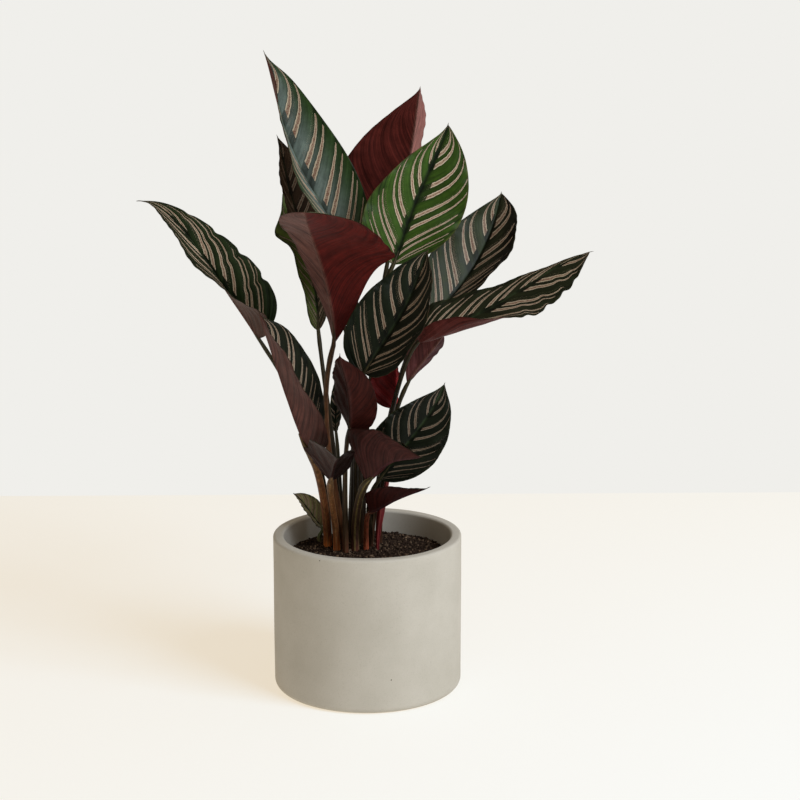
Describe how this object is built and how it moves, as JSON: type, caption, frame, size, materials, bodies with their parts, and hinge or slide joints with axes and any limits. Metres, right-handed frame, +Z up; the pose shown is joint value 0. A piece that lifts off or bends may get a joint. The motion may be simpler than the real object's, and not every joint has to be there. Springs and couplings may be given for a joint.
{
  "type": "potted foliage plant",
  "caption": "Potted prayer plant with oval pink-striped dark leaves, maroon undersides and slender stalks in soil, in a plain straight-sided concrete pot.",
  "frame": {"origin": "on the ground, at the middle of the pot's underside", "axes": "+Z up along the pot's axis, -Y to the front as pictured, +X to the viewer's right"},
  "size_m": [0.3796, 0.257, 0.5494],
  "materials": {
    "concrete": "matt cast concrete",
    "soil": "loose dark potting mix",
    "leaf-green": "satin leaf, dark green with pink stripes above and maroon below",
    "leaf-maroon": "velvety maroon leaf underside, striped green on the other face",
    "stalk": "satin brown-olive leaf stalk",
    "stalk-red": "satin red young stalk"
  },
  "bodies": {
    "root": {"pot": "concrete", "soil": "soil", "blade-tall-left": "leaf-green", "stalk-tall-left": "stalk", "blade-dark-left": "leaf-green", "stalk-dark-left": "stalk", "blade-wavy-left": "leaf-green", "stalk-wavy-left": "stalk", "blade-top-back": "leaf-maroon", "stalk-top-back": "stalk", "blade-big-front": "leaf-maroon", "stalk-big-front": "stalk", "blade-top-right": "leaf-green", "stalk-top-right": "stalk", "blade-front-centre": "leaf-green", "stalk-front-centre": "stalk", "blade-right-back": "leaf-green", "stalk-right-back": "stalk", "blade-far-right": "leaf-green", "stalk-far-right": "stalk", "blade-far-left": "leaf-green", "stalk-far-left": "stalk", "blade-folded-left": "leaf-maroon", "stalk-folded-left": "stalk", "blade-dark-centre": "leaf-maroon", "stalk-dark-centre": "stalk", "blade-low-right": "leaf-green", "stalk-low-right": "stalk", "blade-cupped-right": "leaf-maroon", "stalk-cupped-right": "stalk", "blade-cupped-left": "leaf-maroon", "stalk-cupped-left": "stalk", "blade-narrow-right": "leaf-maroon", "stalk-narrow-right": "stalk", "blade-slim-back": "leaf-green", "stalk-slim-back": "stalk", "blade-small-left": "leaf-green", "stalk-small-left": "stalk", "blade-young-red": "leaf-maroon", "stalk-young-red": "stalk-red", "blade-rolled-right": "leaf-maroon", "stalk-rolled-right": "stalk"}
  },
  "joints": []
}
